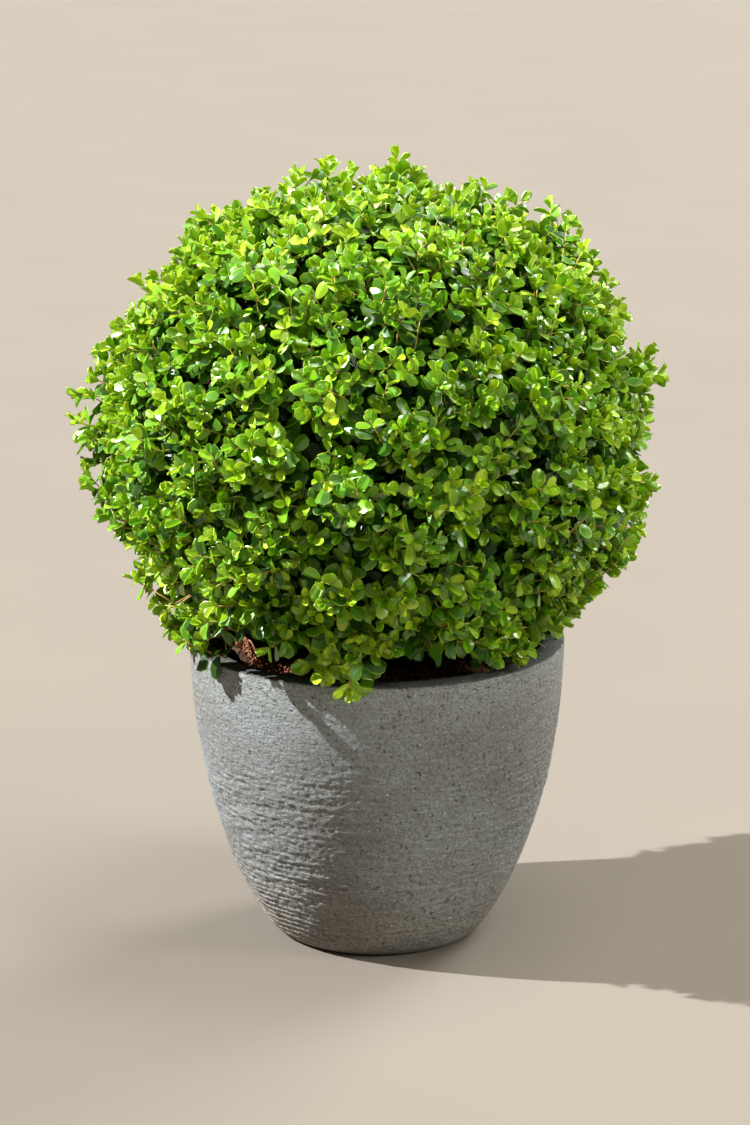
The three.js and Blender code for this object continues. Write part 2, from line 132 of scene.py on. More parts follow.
# The wood
TRUNK_FOOT = np.array([-0.002, 0.002, SOIL_TOP])
TRUNK_TOP = np.array([-0.005, -0.001, 0.352])
TRUNK_SUNK = 0.004  # how far it starts under the compost's top
TRUNK_BOW = np.array([0.003, 0.002, 0])
TRUNK_RADIUS = 0.012
TRUNK_FLARE = 0.009
TRUNK_TAPER = 0.003
TRUNK_RINGS = 40
TRUNK_SIDES = 28
BOUGH_RADIUS = 0.0064
BOUGH_TIP_RADIUS = 0.004
BOUGH_LEAD = 0.034
BOUGH_RINGS = 36
BOUGH_SIDES = 18
BARK_SWELL = 0.09  # how much of its radius a limb's bark stands out or in
STEM_BARE = 0.014
STEM_LENGTH = 0.040

# Each mass of foliage: its outward direction, the height that its bough leaves the trunk at, and how
# far its stem lies below the ball's centre
MASS_TILT = math.tan(math.radians(-5))
MASSES = {
    "top": (np.array([0, 0, 1.0]), TRUNK_TOP[2], 0),
    "right": (np.array([1, 0, MASS_TILT]), 0.302, 0.018),
    "back": (np.array([0, 1, MASS_TILT]), 0.322, 0.018),
    "left": (np.array([-1, 0, MASS_TILT]), 0.302, 0.018),
    "front": (np.array([0, -1, MASS_TILT]), 0.322, 0.018),
}

# The shoots gather in tufts with dark gaps between them
TUFTS = 150
TUFT_SCATTER = 0.045
TUFT_PULL = 0.16  # how far a shoot is drawn to the middle of its tuft
TUFT_FALL = 0.009  # how much deeper a shoot at the edge of a tuft ends
TUFT_LEVEL = 0.42  # the squared share of the way to a tuft's edge that isn't deeper or higher
TUFT_RISE = 0.0034  # how much higher or lower than others a whole tuft ends
TUFT_FLARE = 1.9  # how much its shoots lean out from its middle
TUFT_YOUTH = 0.55  # the share of a shoot's youth that it has from its tuft

# The shoots
SHOOTS = 2050  # on a whole ball, though some would lie too low
SHOOT_SCATTER = 0.018
STRAYS = 0.06  # the share of them that has outgrown the clipped face
STRAY_REACH = (0.006, 0.014)
SHOOT_LENGTH = 0.046
SHOOT_RADIUS = 0.0007
SHOOT_TAPER = np.array([[1.25, 1.0, 0.55]])
SHOOT_BEND = 0.0012
SHOOT_SIDES = 4
SHOOT_REACH = 0.008  # how far the youngest leaves reach past the end of a shoot's wood
CLIP_DEPTH = 0.010  # how far the wood ends under the clipped face, on the whole
CLIP_SPREAD = 0.0060
CLIP_LIMITS = (-0.016, 0.034)
SHOOT_LIFT = 0.50  # how much shoots turn up towards the light
SHOOT_DROP = -0.25  # the most that they point down
SHOOT_WAY_SPREAD = 0.30
SHOOT_LEAN_OUT = 0.45  # the least share of a shoot's way that is square to the clipped face
VIGOURS = (0.82, 1.16)
RIM_ROOM_ABOVE = 0.008  # how far over the lowest place for foliage a shoot's wood stays
RIM_ROOM_OUTSIDE = 0.016  # or how far outside the rim
RIM_OVERHANG = 0.004  # and there, how far below that place it may hang

# The twigs that carry them
FORK_SHARE = 0.25
TWIG_RADIUS = 0.0034
TWIG_THINNING = 0.82
TWIG_TAPER = 0.92
TWIG_SIDES = 5

# The leaves, as opposite pairs down a shoot from the end of its wood
PAIR_DEPTHS = [0.0005, 0.0060, 0.0130, 0.0205, 0.028, 0.036]
PAIR_LENGTHS = [0.0114, 0.0156, 0.0176, 0.0182, 0.0182, 0.0178]
PAIR_LEANS = [30, 51, 61, 67, 72, 78]  # degrees off the shoot
FINE_PAIRS = 4  # the leaves of the pairs below these are plainer, as little of them shows
CUPPED_PAIRS = 2  # the youngest, whose leaves are cupped where the others are domed
CUPPED_ARCH = -0.20
DOMED_ARCH = 0.14
ARCH_SPREAD = 0.09
FIRST_DROOP = 0.04
PAIR_DROOP = 0.05  # how much more the leaves of each next pair droop
DROOP_SPREAD = 0.09
LEAF_TURN_SPREAD = 0.12  # radians round the shoot
LEAF_LEAN_SPREAD = 13  # degrees off the shoot
VIGOUR_LEAN = 10  # how many degrees more a leaf leans at twice the vigour
LEAF_ROLL_SPREAD = 0.38
LEAF_WAY_SPREAD = 0.22
LEAF_DEPTH_SPREAD = 0.0006
LEAF_SIZES = (0.86, 1.1)
PAIR_AGE = 0.9  # how many tones darker each next pair is
SHOOT_AGE = 2.4  # how many tones darker an old shoot is than a young one
YOUNGEST_AGE = -0.5
AGE_SPREAD = 0.85
SOIL_ROOM = 0.005  # how far leaves stay over the compost
POT_ROOM = 0.0015  # and from the rim
OPEN_RADIUS = 0.143  # inside this, what hangs low hangs over the compost

# A leaf's outline: how far along its length each station lies, and its half width there
LEAF_STATIONS = [(0.14, 0.22), (0.40, 0.45), (0.70, 0.49), (0.93, 0.27)]
LEAF_END = 0.965
LEAF_ASPECT = 0.66
LEAF_THICKNESS = 0.0005
LEAF_RIB_LAST = 1 + len(LEAF_STATIONS)  # its root, its tip and its midrib are its first corners
MARGIN_START = 0.87  # how far out its pale margin starts
ARCH_POWER = 1.5
BLADE, MARGIN, UNDERSIDE = range(3)

# The older leaves under the shoots
INNER_LEAVES = 12000
INNER_DEPTHS = (0.030, 0.105)
INNER_SIZES = (0.015, 0.021)
INNER_ROOM = 0.012  # how far over the lowest place for foliage they stay
INNER_FIRST_TONE = 3
INNER_SHARES = [0.2, 0.4, 0.4]  # of the leaves that have each tone from that one on

# Where the foliage ends higher, at the front, as the compost shows there
FRONT_LIFT = 0.024
FRONT_WAY = np.array([-0.30, -0.954])
CLUMP_LIFT = 0.018  # and how much higher again over the clump of compost at the front left
CLUMP_WAY = np.array([-0.73, -0.68])

# The longest shoots of the outline, and the share of the way that each shoot round one is drawn out
FAR_SHARES = [1, 0.9, 0.75, 0.65, 0.6, 0.5, 0.4, 0.4, 0.3, 0.3, 0.2, 0.2]
FAR_TIPS = [
    (-0.269, 0.010, 0.484),
    (-0.266, -0.002, 0.444),
    (-0.186, -0.043, 0.284),
    (-0.158, 0.050, 0.640),
    (-0.048, 0.061, 0.684),
    (0.018, 0.060, 0.681),
    (0.152, 0.051, 0.643),
    (0.172, 0.049, 0.634),
    (0.208, 0.036, 0.584),
    (0.244, 0.020, 0.522),
    (0.223, -0.026, 0.347),
]

# The sprigs that hang low at the front: the end of the wood of each, and the way it points
FRONT_VIGOUR = 1.25  # how much larger than usual their leaves are
FRONT_SHOOTS = [
    ((-0.0230, -0.1900, 0.2750), (-0.1, -0.93, -0.35)),
    ((-0.030, -0.166, 0.2800), (0.3, -0.8, -0.15)),
    ((-0.047, -0.176, 0.2840), (-0.25, -0.93, -0.25)),
    ((-0.057, -0.160, 0.2880), (-0.5, -0.7, 0.1)),
    ((-0.146, -0.090, 0.2890), (-0.4, -0.8, -0.35)),
    ((-0.164, -0.064, 0.2870), (-0.6, -0.6, -0.35)),
    ((-0.174, -0.038, 0.2850), (-0.9, -0.2, -0.35)),
    ((0.118, -0.118, 0.2900), (0.3, -0.8, -0.30)),
]

# The colours of the foliage, from young to old
LEAF_TONES = {
    "leaf_new": (0.51, 0.75, 0.020),
    "leaf_young": (0.36, 0.64, 0.008),
    "leaf_bright": (0.215, 0.50, 0.005),
    "leaf_mid": (0.112, 0.35, 0.003),
    "leaf_deep": (0.048, 0.19, 0.003),
    "leaf_old": (0.018, 0.080, 0.003),
}
# Darker copies of the mid, deep and old tones for the inner leaves and the plain lower pairs: painted
# shade deep in the ball.
INNER_SHADED_TONES = {
    "inner_leaf_mid_painted_shade": (0.080, 0.25, 0.003),
    "inner_leaf_deep_painted_shade": (0.040, 0.15, 0.003),
    "inner_leaf_old_painted_shade": (0.018, 0.075, 0.003),
}
MARGIN_TONE = (0.60, 0.76, 0.065)
MARGIN_STEP = 3  # how many tones paler the margin of an older leaf is than its blade
UNDERSIDE_TONE = (0.27, 0.44, 0.02)
TWIG_OLD_TONE = (0.36, 0.20, 0.09)
TWIG_YOUNG_TONE = (0.64, 0.44, 0.11)
THROUGH_TINT = (2.0, 1.6, 1.0)  # how light is coloured on its way through a leaf
LEAF_SPECULAR = 0.1  # under the wax
WAX_ROUGHNESS = 0.29
WAX_IOR = 1.85
WHITE = (1, 1, 1)
BLACK = (0, 0, 0)


def unit(vectors):
    return vectors / np.linalg.norm(vectors, axis=-1, keepdims=True)


def smoothstep(low, high, value):
    t = np.clip((value - low) / (high - low), 0, 1)
    return t * t * (3 - 2 * t)


def mesh_object(name, vertices, faces, materials, face_materials=None):
    """A smooth-shaded object from an array of corners and an array of faces of one size."""
    mesh = bpy.data.meshes.new(name)
    mesh.vertices.add(len(vertices))
    mesh.vertices.foreach_set("co", np.ascontiguousarray(vertices, np.float32).ravel())
    mesh.loops.add(faces.size)
    mesh.loops.foreach_set("vertex_index", np.ascontiguousarray(faces, np.int32).ravel())
    starts = np.arange(0, faces.size, faces.shape[1], dtype=np.int32)
    mesh.polygons.add(len(faces))
    mesh.polygons.foreach_set("loop_start", starts)
    for material in materials:
        mesh.materials.append(material)
    if face_materials is not None:
        mesh.polygons.foreach_set("material_index", np.ascontiguousarray(face_materials, np.int32))
    mesh.update(calc_edges=True)
    mesh.validate()
    mesh.shade_smooth()
    piece = bpy.data.objects.new(name, mesh)
    bpy.context.scene.collection.objects.link(piece)
    return piece


def finish_piece(piece, slot, *nodes):
    """Hangs a piece on the root body and hides the nodes of the model that it stands for. The slot is not
    used.
    """
    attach(piece, "root")
    if nodes:
        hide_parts(*nodes)


def ring_faces(rings, segments):
    """The four-cornered faces between rings of points, each of which closes up."""
    i, j = np.meshgrid(np.arange(rings - 1), np.arange(segments), indexing="ij")
    after = (j + 1) % segments
    low, high = i * segments, (i + 1) * segments
    return np.stack([low + j, low + after, high + after, high + j], -1).reshape(-1, 4)


def joined(parts):
    """Several pairs of corners and faces as one."""
    starts = np.cumsum([0] + [len(vertices) for vertices, _ in parts[:-1]])
    return (
        np.vstack([vertices for vertices, _ in parts]),
        np.vstack([faces + start for (_, faces), start in zip(parts, starts)]),
    )


# Materials


class Nodes:
    """A short way to write a material's node tree."""

    def __init__(self, name):
        self.material = bpy.data.materials.new(name)
        self.material.use_nodes = True
        self.tree = self.material.node_tree
        self.shader = self.tree.nodes["Principled BSDF"]
        self.output = self.tree.nodes["Material Output"]

    def add(self, kind, **values):
        node = self.tree.nodes.new(kind)
        for key, value in values.items():
            if hasattr(node, key):
                setattr(node, key, value)
            else:
                node.inputs[key.replace("_", " ")].default_value = value
        return node

    def link(self, source, target):
        self.tree.links.new(source, target)

    def stretched(self, x, y, z):
        """Object coordinates, scaled along each axis."""
        place = self.add("ShaderNodeTexCoord")
        scale = self.add("ShaderNodeMapping")
        scale.inputs["Scale"].default_value = (x, y, z)
        self.link(place.outputs["Object"], scale.inputs["Vector"])
        return scale.outputs["Vector"]

    def height(self, low, high):
        """From 0 to 1 between two heights."""
        place = self.add("ShaderNodeTexCoord")
        parts = self.add("ShaderNodeSeparateXYZ")
        self.link(place.outputs["Object"], parts.inputs["Vector"])
        share = self.add("ShaderNodeMapRange", From_Min=low, From_Max=high)
        self.link(parts.outputs["Z"], share.inputs["Value"])
        return share.outputs["Result"]

    def noise(self, vector, scale, detail, roughness=0.5):
        node = self.add("ShaderNodeTexNoise", Scale=scale, Detail=detail, Roughness=roughness)
        self.link(vector, node.inputs["Vector"])
        return node.outputs["Fac"]

    def ramp(self, value, *stops):
        node = self.add("ShaderNodeValToRGB")
        elements = node.color_ramp.elements
        while len(elements) < len(stops):
            elements.new(0.5)
        for element, (position, colour) in zip(elements, stops):
            element.position = position
            element.color = (*colour, 1)
        self.link(value, node.inputs["Fac"])
        return node.outputs["Color"]

    def mix(self, factor, first, second, blend="MIX"):
        node = self.add("ShaderNodeMix", data_type="RGBA", blend_type=blend)
        for value, socket in ((factor, 0), (first, 6), (second, 7)):
            if isinstance(value, (int, float)):
                node.inputs[socket].default_value = value
            else:
                self.link(value, node.inputs[socket])
        return node.outputs[2]

    def bump(self, height, strength, distance):
        node = self.add("ShaderNodeBump", Strength=strength, Distance=distance)
        self.link(height, node.inputs["Height"])
        self.link(node.outputs["Normal"], self.shader.inputs["Normal"])

    def surface(self, colour, roughness):
        """Sets the base colour, which is plain or comes from another node, and the roughness."""
        if isinstance(colour, tuple):
            self.shader.inputs["Base Color"].default_value = (*colour, 1)
        else:
            self.link(colour, self.shader.inputs["Base Color"])
        self.shader.inputs["Roughness"].default_value = roughness


def leaf_material(name, colour, roughness, glow, gloss=1.0):
    """A waxy leaf of one colour, which lets a share of the light through."""
    nodes = Nodes(name)
    nodes.surface(colour, roughness)
    nodes.shader.inputs["Specular IOR Level"].default_value = LEAF_SPECULAR
    nodes.shader.inputs["Coat Weight"].default_value = gloss
    nodes.shader.inputs["Coat Roughness"].default_value = WAX_ROUGHNESS
    nodes.shader.inputs["Coat IOR"].default_value = WAX_IOR
    tinted = [min(1, tint * part) for tint, part in zip(THROUGH_TINT, colour)]
    through = nodes.add("ShaderNodeBsdfTranslucent")
    through.inputs["Color"].default_value = (*tinted, 1)
    blend = nodes.add("ShaderNodeMixShader")
    blend.inputs["Fac"].default_value = glow
    nodes.link(nodes.shader.outputs["BSDF"], blend.inputs[1])
    nodes.link(through.outputs["BSDF"], blend.inputs[2])
    nodes.link(blend.outputs["Shader"], nodes.output.inputs["Surface"])
    return nodes.material


def pot_material():
    """Grey concrete with patches, dark specks, grit and faint streaks; painted shade in its pits and on
    the top of its rim, a painted lighter band under the rim that is partly weathering, and painted warm
    light from the floor low down.
    """
    nodes = Nodes("pot_concrete")
    even = nodes.stretched(1, 1, 1)
    combed_way = nodes.stretched(1, 1, 9)
    patches = nodes.ramp(
        nodes.noise(even, 8, 3),
        (0.36, (0.262, 0.257, 0.244)),
        (0.50, (0.271, 0.284, 0.284)),
        (0.66, (0.315, 0.336, 0.343)),
    )
    streaks = nodes.ramp(
        nodes.noise(combed_way, 36, 4),
        (0.35, (0.90, 0.885, 0.865)),
        (0.65, (1.07, 1.075, 1.08)),
    )
    grain = nodes.ramp(
        nodes.noise(even, 420, 3, 0.7),
        (0.34, (0.66, 0.65, 0.64)),
        (0.66, (1.22, 1.23, 1.24)),
    )
    # Dark specks, and painted shade in small pits.
    dark_specks_and_pit_shade = nodes.ramp(nodes.noise(even, 260, 3, 0.6), (0.335, (0.18, 0.18, 0.18)), (0.40, WHITE))
    grit = nodes.ramp(nodes.noise(even, 330, 0), (0.82, BLACK), (0.85, (0.30, 0.30, 0.28)))
    # Painted shade on the rim's flat top, where the ball above shades it.
    rim = nodes.ramp(nodes.height(0.2664, 0.2674), (0, WHITE), (1, (0.35, 0.35, 0.338)))
    # Painted light, partly weathering: a lighter band under the rim, where less shade falls.
    worn = nodes.ramp(nodes.height(0.215, POT_HEIGHT), (0, WHITE), (1, (1.22, 1.22, 1.20)))
    # Painted warm light bounced from the floor, low on the pot.
    painted_floor_bounce = nodes.ramp(nodes.height(0, 0.11), (0, (1.12, 0.99, 0.87)), (1, WHITE))
    colour = patches
    for layer, share in ((streaks, 1), (grain, 1), (dark_specks_and_pit_shade, 0.75), (worn, 1), (painted_floor_bounce, 1), (rim, 1)):
        colour = nodes.mix(share, colour, layer, "MULTIPLY")
    nodes.surface(nodes.mix(1, colour, grit, "ADD"), 0.9)
    nodes.shader.inputs["Specular IOR Level"].default_value = 0.3
    crumbs = nodes.noise(nodes.stretched(1, 1, 1.3), 360, 4, 0.8)
    ragged = nodes.noise(nodes.stretched(1, 1, 2.2), 150, 3, 0.6)
    flakes = nodes.ramp(ragged, (0.44, BLACK), (0.56, WHITE))
    nodes.bump(nodes.mix(0.2, crumbs, flakes), 1.0, 0.0028)
    return nodes.material


def soil_material():
    """Moist compost: its darkest tone is painted shade in hollows, with brown crumbs and redder, paler
    fibre.
    """
    nodes = Nodes("compost")
    even = nodes.stretched(1, 1, 1)
    # The darkest of these tones is painted shade in the hollows.
    colour = nodes.ramp(
        nodes.noise(even, 160, 5, 0.7),
        (0.3, (0.022, 0.012, 0.007)),
        (0.55, (0.145, 0.067, 0.035)),
        (0.8, (0.36, 0.167, 0.088)),
    )
    nodes.surface(colour, 0.95)
    nodes.bump(nodes.noise(even, 240, 5, 0.7), 0.9, 0.002)
    return nodes.material


def plain_material(name, colour, roughness):
    nodes = Nodes(name)
    nodes.surface(colour, roughness)
    return nodes.material


def floor_material():
    """Matt paint, a little uneven."""
    nodes = Nodes("floor_paint")
    colour = nodes.ramp(
        nodes.noise(nodes.stretched(1, 1, 1), 3, 2),
        (0.3, (0.158, 0.135, 0.112)),
        (0.7, (0.165, 0.141, 0.117)),
    )
    nodes.surface(colour, 0.9)
    return nodes.material


def bark_material():
    """Grey-brown bark, paler on its ridges."""
    nodes = Nodes("bark")
    along = nodes.stretched(1, 1, 0.25)
    colour = nodes.ramp(
        nodes.noise(along, 260, 5, 0.65),
        (0.3, (0.060, 0.036, 0.020)),
        (0.7, (0.26, 0.19, 0.12)),
    )
    nodes.surface(colour, 0.9)
    nodes.bump(nodes.noise(along, 260, 5, 0.65), 0.6, 0.001)
    return nodes.material


# The pot


def lattice_noise(across, up, cells_across, cells_up):
    """Smooth random values from -1 to 1 that close up across, with across and up from 0 to 1."""
    grid = rng.uniform(-1, 1, (cells_up + 2, cells_across))
    x = across * cells_across
    y = up * cells_up
    i = np.floor(x).astype(int)
    j = np.clip(np.floor(y).astype(int), 0, cells_up)
    fx = smoothstep(0, 1, x - i)
    fy = smoothstep(0, 1, y - j)
    left, right = i % cells_across, (i + 1) % cells_across
    low = grid[j, left] * (1 - fx) + grid[j, right] * fx
    high = grid[j + 1, left] * (1 - fx) + grid[j + 1, right] * fx
    return low * (1 - fy) + high * fy


def pot_radius(height):
    """The outside's radius at each height, which swells in a smooth curve from the foot to the rim."""
    fall = (1 - np.clip(height / POT_HEIGHT, 0, 1)) ** POT_BELLY_POWER
    return POT_FOOT_RADIUS + (POT_RIM_RADIUS - POT_FOOT_RADIUS) * (1 - fall) ** (1 / POT_BELLY_ROOT)


def pot_profile():
    """Corners of (radius, height) from the middle of the underside, up the outside, over and inside."""
    edge = POT_HEIGHT - POT_RIM_ROUND
    inner_rim = POT_RIM_RADIUS - POT_WALL
    underside = [(radius, 0) for radius in POT_UNDERSIDE]
    heights = np.linspace(0, 1, POT_RINGS) ** POT_RING_CROWDING * edge
    below_round = np.clip(1 - heights / POT_FOOT_ROUND, 0, 1)
    foot_round = POT_FOOT_ROUND * (1 - np.sqrt(1 - below_round**2))
    outside = np.column_stack([pot_radius(heights) - foot_round, heights])
    turn = np.linspace(0, math.pi / 2, POT_ROUNDING_RINGS + 1)[1:]
    over = [POT_RIM_RADIUS - POT_RIM_ROUND * (1 - np.cos(turn)), edge + POT_RIM_ROUND * np.sin(turn)]
    top = [(inner_rim + share * (POT_RIM_RADIUS - inner_rim), POT_HEIGHT) for share in POT_RIM_SHARES]
    back = [inner_rim + POT_RIM_ROUND * (1 - np.sin(turn)), edge + POT_RIM_ROUND * np.cos(turn)]
    down = np.linspace(edge, POT_INSIDE_LOW, 9)[1:]
    inside = np.column_stack([pot_radius(down) - POT_WALL, down])
    return np.vstack([underside, outside, np.transpose(over), top, np.transpose(back), inside])


def belly(up):
    """How rough the outside is at each height: most on the belly, and nearly smooth under the rim."""
    return smoothstep(0.01, 0.08, up) * (1 - 0.88 * smoothstep(0.58, 0.82, up))


def combed(across, up):
    """Level combed lines, which wander a little and come and go."""
    wander = 0.7 * lattice_noise(across, up, 14, 8) + 0.16 * lattice_noise(across, up, 110, 60)
    turn = up * POT_HEIGHT / COMB_SPACING + wander
    line = (turn - np.floor(turn)) ** 1.5 - 0.4
    patches = smoothstep(-0.35, 0.35, lattice_noise(across, up, 12, 9))
    return COMB_HEIGHT * line * (patches + 0.8 * smoothstep(0.42, 0.18, up))


def torn_lips(across, up):
    """Short thick flakes that lie level and end in torn edges, crowded in patches."""
    wander = 0.008 * lattice_noise(across, up, 40, 30)
    long = smoothstep(-0.05, 0.16, lattice_noise(across, up + wander, 46, 84))
    short = smoothstep(-0.05, 0.22, lattice_noise(across, up + wander, 140, 110))
    patches = smoothstep(-0.55, 0.30, lattice_noise(across, up, 13, 8)) * smoothstep(0.06, 0.30, up)
    return LIP_HEIGHT * (long * (0.35 + 0.65 * patches) + 0.75 * short * patches - 0.6)


def grooves(across, up):
    """Long shallow grooves, level but for a slight wander, most of them low on the pot."""
    total = np.zeros_like(up)
    for place in rng.beta(1.4, 2.6, GROOVES) * 0.9 + 0.03:
        middle, half = rng.random(), rng.uniform(0.06, 0.30)
        away = np.abs((across - middle + 0.5) % 1 - 0.5)
        level = place + 0.006 * lattice_noise(across, up * 0, 14, 1)
        fading = 0.6 + 0.4 * lattice_noise(across, up * 0, 60, 1)
        depth = smoothstep(half, half * 0.5, away) * fading
        total -= GROOVE_DEPTH * depth * np.exp(-(((up - level) * POT_HEIGHT / GROOVE_WIDTH) ** 2))
    return total


def pot_relief(across, up):
    """How far the outside stands out, with all its marks."""
    rougher = 0.75 - 0.30 * np.cos((across + 0.10) * 2 * math.pi)
    relief = rougher * belly(up) * (combed(across, up) + torn_lips(across, up)) + grooves(across, up)
    relief += SWELL_HEIGHT * lattice_noise(across, up, 26, 9)
    relief += (CRUMB_HEIGHT / 2 + CRUMB_HEIGHT * belly(up)) * lattice_noise(across, up, 400, 120)
    relief += PIT_DEPTH * np.minimum(0, lattice_noise(across, up, 190, 60) + 0.70)
    chips = np.minimum(0, lattice_noise(across, up * 0, 150, 1) + 0.1)
    return relief + CHIP_DEPTH * chips * smoothstep(0.988, 0.996, up)


def rim_waves(across, radius, up):
    """How far the top of the rim rises and dips."""
    waves = RIM_WAVE * lattice_noise(across, up * 0, 16, 1)
    waves += RIM_CRUMB * lattice_noise(across, radius / 0.17, 200, 60)
    return waves * smoothstep(0.97, 1.0, up)


def make_pot():
    """The pot's skin, from under the foot over the rim and down to below the compost's top."""
    profile = pot_profile()
    turn = np.arange(POT_SEGMENTS) / POT_SEGMENTS
    across, radius = np.meshgrid(turn, profile[:, 0])
    height = np.repeat(profile[:, 1:], POT_SEGMENTS, 1)
    up = height / POT_HEIGHT
    first = len(POT_UNDERSIDE)
    worn = np.zeros((len(profile), 1))
    worn[first : first + POT_RINGS + POT_WORN_RINGS] = 1
    around = radius + pot_relief(across, up) * (worn * smoothstep(0.0, 0.02, up))
    height = height + rim_waves(across, radius, up)
    turned = across * 2 * math.pi
    vertices = np.stack([around * np.cos(turned), around * np.sin(turned), height], -1)
    faces = ring_faces(len(profile), POT_SEGMENTS)
    pot = mesh_object("planter", vertices.reshape(-1, 3), faces, [pot_material()])
    finish_piece(pot, "pot", "pot")


# The compost


def clump_share(x, y):
    """How near each place is to the middle of the clump, from 0 to 1."""
    away = np.hypot(x - SOIL_CLUMP[0], y - SOIL_CLUMP[1]) / SOIL_CLUMP_SPREAD
    return np.exp(-(away**2))


def soil_height(x, y):
    waves = np.sin(x / 0.017 + 1) * np.cos(y / 0.021) + 0.6 * np.sin((x + y) / 0.011)
    lumps = np.sin(x / 0.0046 + 2 * np.sin(y / 0.006)) * np.sin(y / 0.0052 + 1.7 * np.sin(x / 0.0071))
    return SOIL_TOP + SOIL_WAVE * waves + SOIL_LUMP * lumps + SOIL_CLUMP_HEIGHT * clump_share(x, y)


def make_soil():
    """The compost's uneven top, out to the pot's inside."""
    shares = np.linspace(0.004, 1, SOIL_RINGS)
    turns = np.arange(SOIL_SEGMENTS) / SOIL_SEGMENTS
    share, turn = np.meshgrid(shares, turns, indexing="ij")
    x = share * SOIL_RADIUS * np.cos(turn * 2 * math.pi)
    y = share * SOIL_RADIUS * np.sin(turn * 2 * math.pi)
    vertices = np.stack([x, y, soil_height(x, y)], -1).reshape(-1, 3)
    facing_up = ring_faces(SOIL_RINGS, SOIL_SEGMENTS)[:, [0, 3, 2, 1]]
    soil = mesh_object("compost", vertices, facing_up, [soil_material()])
    finish_piece(soil, "soil", "soil")


def fibre_places():
    """Where the strands lie: all over the compost that can show, and heaped on its clump."""
    turn = rng.uniform(0, 2 * math.pi, SPREAD_FIBRES)
    radius = SOIL_RADIUS * np.sqrt(rng.uniform(0.25, 0.9, SPREAD_FIBRES))
    spread = np.column_stack([radius * np.cos(turn), radius * np.sin(turn)])
    heaped = np.array(SOIL_CLUMP) + rng.normal(0, HEAP_SPREAD, (HEAPED_FIBRES, 2))
    places = np.vstack([spread, heaped])
    return places[np.hypot(places[:, 0], places[:, 1]) < SOIL_RADIUS - 0.010]


def fibre_lines(places, heap):
    """The bent and arched line of each strand, longest and highest on the clump."""
    count, points = len(places), len(FIBRE_TAPER)
    heading = rng.uniform(0, 2 * math.pi, count)
    length = rng.uniform(0.003, 0.010, count) + heap * rng.uniform(0.004, 0.014, count)
    bend = rng.uniform(-FIBRE_BEND, FIBRE_BEND, count)
    lift = np.abs(rng.normal(0, 0.0008, count)) + heap * rng.uniform(0, 0.0055, count)
    steps = np.linspace(-0.5, 0.5, points)
    angle = heading[:, None] + bend[:, None] * steps
    run = np.stack([np.cos(angle), np.sin(angle)], -1) * (length[:, None, None] / (points - 1))
    path = np.cumsum(run, 1) - run.sum(1, keepdims=True) / 2 + places[:, None, :]
    arch = lift[:, None] * (1 - (2 * steps) ** 2) * FIBRE_ARCH
    z = soil_height(path[..., 0], path[..., 1]) + FIBRE_CLEARANCE + arch
    return np.concatenate([path, z[..., None]], -1)


def make_fibres():
    """Loose strands of coir and bark on the compost, thickest on the clump at the front left, where more
    of them are pale as painted sunlight.
    """
    places = fibre_places()
    heap = clump_share(places[:, 0], places[:, 1])
    lines = fibre_lines(places, heap)
    inside = np.hypot(lines[..., 0], lines[..., 1]).max(1) <= SOIL_RADIUS - 0.0005
    lines, heap = lines[inside], heap[inside]
    count = len(lines)
    radii = rng.uniform(*FIBRE_RADII, count)[:, None] * FIBRE_TAPER
    vertices, faces = tubes(lines, radii, FIBRE_SIDES)
    materials = [plain_material(f"fibre_{i}", tone, 0.85) for i, tone in enumerate(FIBRE_TONES)]
    # More pale strands on the clump: painted sunlight on it.
    pale_with_painted_sun = rng.random(count) < 0.24 + 0.65 * heap
    tone = np.where(pale_with_painted_sun, rng.choice(len(FIBRE_TONES), count, p=FIBRE_SHARES), DARK_FIBRE)
    kinds = np.repeat(tone, len(faces) // count)
    fibres = mesh_object("compost_fibres", vertices, faces, materials, kinds)
    finish_piece(fibres, "soil")


# Wood


def perpendicular(along):
    """A direction square to each of the given ones."""
    return unit(np.cross(np.array([0.31, 0.52, 0.8]), along))


def tubes(lines, radii, sides):
    """Closed tubes along many lines of equally many points: corners and triangles."""
    count, points = lines.shape[:2]
    tangent = unit(np.gradient(lines, axis=1))
    front = perpendicular(tangent)
    side = np.cross(tangent, front)
    turn = np.arange(sides) / sides * 2 * math.pi
    ring = front[:, :, None] * np.cos(turn)[:, None] + side[:, :, None] * np.sin(turn)[:, None]
    vertices = lines[:, :, None] + ring * np.asarray(radii)[:, :, None, None]
    corner = np.arange(points * sides).reshape(points, sides)
    low, high = corner[:-1], corner[1:]
    low_after, high_after = np.roll(low, -1, 1), np.roll(high, -1, 1)
    walls = np.stack([low, low_after, high_after, low, high_after, high], -1).reshape(-1, 3)
    fan = np.arange(1, sides - 1)
    start = np.stack([np.zeros_like(fan), fan + 1, fan], -1)
    end = np.stack([np.zeros_like(fan), fan, fan + 1], -1) + (points - 1) * sides
    one = np.vstack([walls, start, end])
    faces = (one[None] + (np.arange(count) * points * sides)[:, None, None]).reshape(-1, 3)
    return vertices.reshape(-1, 3), faces


def bezier(corners, points):
    """Points along a Bezier curve of three or four corners."""
    t = np.linspace(0, 1, points)[:, None]
    level = [np.repeat(np.asarray(c, float)[None], points, 0) for c in corners]
    while len(level) > 1:
        level = [a * (1 - t) + b * t for a, b in zip(level, level[1:])]
    return level[0]


def bark_tube(line, radius, sides):
    """One limb with furrowed bark, as corners and triangles."""
    points = len(line)
    vertices, faces = tubes(line[None], radius[None], sides)
    around, along = np.meshgrid(np.arange(sides) / sides, np.linspace(0, 1, points))
    furrows = lattice_noise(around, along, 9, 5) + 0.5 * lattice_noise(around, along, 14, 16)
    centre = np.repeat(line, sides, 0)
    swell = 1 + BARK_SWELL * furrows.reshape(-1, 1)
    return centre + (vertices - centre) * swell, faces


def stem_foot(direction, drop):
    """Where a mass's own stem goes on from its bough."""
    return CROWN_CENTRE + unit(direction) * (BARE_RADIUS - STEM_BARE) - UP * drop


